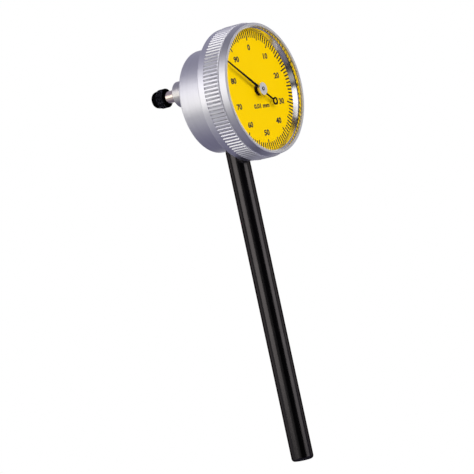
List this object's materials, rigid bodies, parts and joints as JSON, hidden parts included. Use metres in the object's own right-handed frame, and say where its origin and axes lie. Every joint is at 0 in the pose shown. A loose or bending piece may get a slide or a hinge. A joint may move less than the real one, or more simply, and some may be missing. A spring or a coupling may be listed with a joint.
{
  "type": "back plunger dial indicator",
  "caption": "Round dial indicator on a straight mounting rod: knurled turning bezel, yellow dial and black hand in front, with a sprung plunger in a short stem at the back.",
  "frame": {"origin": "centre of the mounting rod's free end face", "axes": "+Z along the rod, from its free end up to the case; +Y along the plunger, from the dial to the contact point; +X to the right as seen from the dial side"},
  "size_m": [0.0484, 0.0483, 0.1558],
  "materials": {
    "case_metal": "satin, fine turning marks",
    "bezel_metal": "bright satin, knurled",
    "rod_black": "black oxide, satin",
    "stem_metal": "fine ground",
    "plunger_metal": "bright ground",
    "tip_black": "black oxide",
    "dial_yellow": "matt enamel",
    "ring_bright": "polished",
    "window_clear": "clear acrylic",
    "hand_black": "matt black",
    "hub_silver": "bright turned",
    "movement_brass": "brushed",
    "bush_bronze": "turned",
    "arbor_steel": "ground",
    "screw_steel": "dark, slotted",
    "spring_steel": "drawn wire",
    "hairspring_blue": "blued"
  },
  "bodies": {
    "case": {"case": "case_metal", "rod": "rod_black", "stem": "stem_metal", "front_bush": "bush_bronze", "rear_bush": "bush_bronze", "return_spring": "spring_steel", "bezel_wire": "spring_steel", "movement_plate": "movement_brass", "movement_pillars": "movement_brass", "plate_screws": "screw_steel", "centre_bush": "bush_bronze", "centre_bridge": "movement_brass", "bridge_screws": "screw_steel", "left_bracket": "movement_brass", "right_bracket": "movement_brass", "bracket_screws": "screw_steel", "arbor_bushes": "bush_bronze", "hairspring_stud": "screw_steel"},
    "bezel": {"bezel": "bezel_metal", "dial_plate": "dial_yellow", "dial_ring": "ring_bright", "crystal": "window_clear"},
    "plunger": {"plunger": "plunger_metal", "contact_tip": "tip_black", "plunger_clip": "screw_steel", "guide_pin": "arbor_steel"},
    "cross_arbor": {"rack_pinion": "arbor_steel", "crown_wheel": "movement_brass"},
    "pointer_arbor": {"centre_arbor": "arbor_steel", "pointer_hub": "hub_silver", "pointer": "hand_black"},
    "takeup": {"takeup_arbor": "arbor_steel", "takeup_wheel": "movement_brass", "hairspring": "hairspring_blue"}
  },
  "joints": [
    {"name": "plunger_slide", "type": "slide", "parent": "case", "child": "plunger", "axis": [0, -1, 0], "range_m": [0, 0.0023], "stiffness_N_per_m": 150, "springref_m": -0.005, "deforming": ["return_spring"]},
    {"name": "cross_arbor_turn", "type": "hinge", "parent": "case", "child": "cross_arbor", "pos_m": [0, -0.0046, 0.13356], "axis": [1, 0, 0], "range_deg": [-0.1, 83]},
    {"name": "pointer_turn", "type": "hinge", "parent": "case", "child": "pointer_arbor", "pos_m": [0, 0, 0.13165], "axis": [0, 1, 0], "range_deg": [-1, 829]},
    {"name": "takeup_turn", "type": "hinge", "parent": "case", "child": "takeup", "pos_m": [-0.00534, 0, 0.12944], "axis": [0, 1, 0], "range_deg": [-110.6, 0.1], "deforming": ["hairspring"]},
    {"name": "bezel_turn", "type": "hinge", "parent": "case", "child": "bezel", "pos_m": [0, 0, 0.13165], "axis": [0, 1, 0], "continuous": true}
  ],
  "couplings": [
    {"joint": "cross_arbor_turn", "follows": "plunger_slide", "rad_per_m": 628.32},
    {"joint": "pointer_turn", "follows": "plunger_slide", "rad_per_m": 6283.2},
    {"joint": "takeup_turn", "follows": "plunger_slide", "rad_per_m": -837.76}
  ]
}
